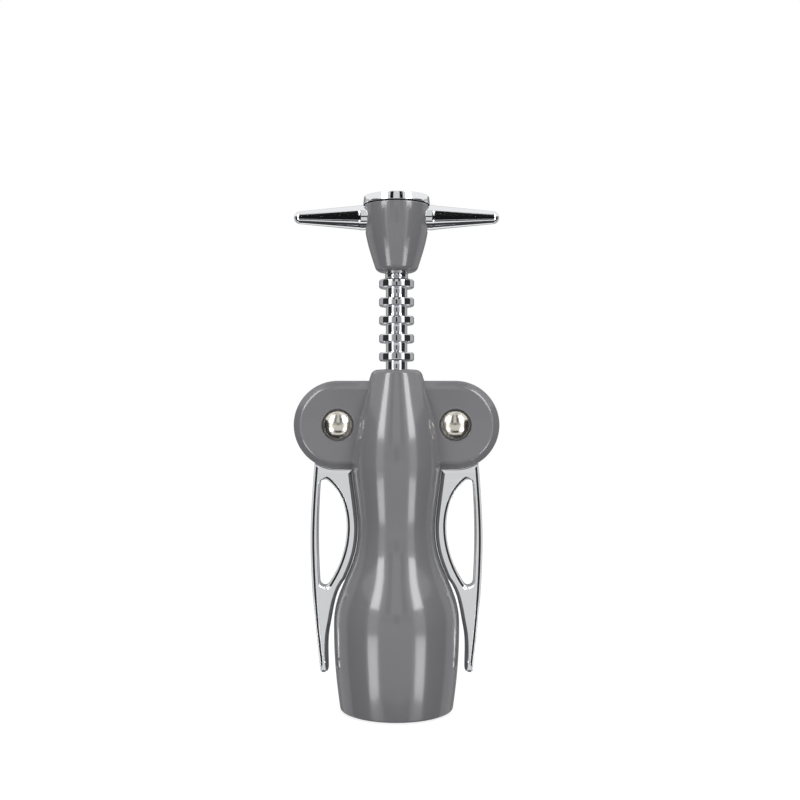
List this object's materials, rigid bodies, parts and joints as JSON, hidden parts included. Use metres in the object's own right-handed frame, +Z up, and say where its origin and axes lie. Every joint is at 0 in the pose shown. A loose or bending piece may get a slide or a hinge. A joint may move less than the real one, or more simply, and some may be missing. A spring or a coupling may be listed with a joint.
{
  "type": "wing corkscrew",
  "caption": "Wing corkscrew with a waisted bell, slotted ears, a ring-toothed rack, a T-handle and windowed levers.",
  "frame": {"origin": "centre of the bell mouth's rim, on the surface it stands on", "axes": "+Z up along the screw's axis, X across the two levers, -Y towards the front, where the pivot pins' solid heads are"},
  "size_m": [0.0746, 0.0454, 0.186],
  "materials": {
    "grey_abs": "gloss",
    "bush_nylon": "satin",
    "guide_plastic": "satin",
    "collar_tpr": "soft matt",
    "pin_nickel": "polished nickel",
    "rack_chrome": "polished",
    "shaft_steel": "turned",
    "worm_steel": "polished",
    "washer_steel": "satin",
    "zinc_chrome": "polished"
  },
  "bodies": {
    "frame": {"bell_body": "grey_abs", "neck_bush": "bush_nylon", "worm_guide": "guide_plastic", "bottle_collar": "collar_tpr", "left_pivot_pin": "pin_nickel", "right_pivot_pin": "pin_nickel", "left_pivot_cap": "pin_nickel", "right_pivot_cap": "pin_nickel"},
    "carriage": {"rack": "rack_chrome"},
    "screw": {"spindle": "shaft_steel", "worm": "worm_steel", "worm_pin": "shaft_steel", "lower_washer": "washer_steel", "upper_washer": "washer_steel", "handle_knob": "grey_abs", "handle_bar": "zinc_chrome", "handle_screw": "shaft_steel", "handle_cap": "zinc_chrome"},
    "left_wing": {"left_lever": "zinc_chrome"},
    "right_wing": {"right_lever": "zinc_chrome"}
  },
  "joints": [
    {"name": "rack_slide", "type": "slide", "parent": "frame", "child": "carriage", "axis": [0, 0, -1], "range_m": [0, 0.034]},
    {"name": "handle_turn", "type": "hinge", "parent": "carriage", "child": "screw", "pos_m": [0, 0, 0.1], "axis": [0, 0, 1], "continuous": true},
    {"name": "left_wing_swing", "type": "hinge", "parent": "frame", "child": "left_wing", "pos_m": [-0.02116, 0, 0.1032], "axis": [0, 1, 0], "range_deg": [0, 123.8]},
    {"name": "right_wing_swing", "type": "hinge", "parent": "frame", "child": "right_wing", "pos_m": [0.02116, 0, 0.1032], "axis": [0, -1, 0], "range_deg": [0, 123.8]}
  ],
  "couplings": [
    {"joint": "left_wing_swing", "follows": "rack_slide", "rad_per_m": 63.492},
    {"joint": "right_wing_swing", "follows": "rack_slide", "rad_per_m": 63.492}
  ]
}
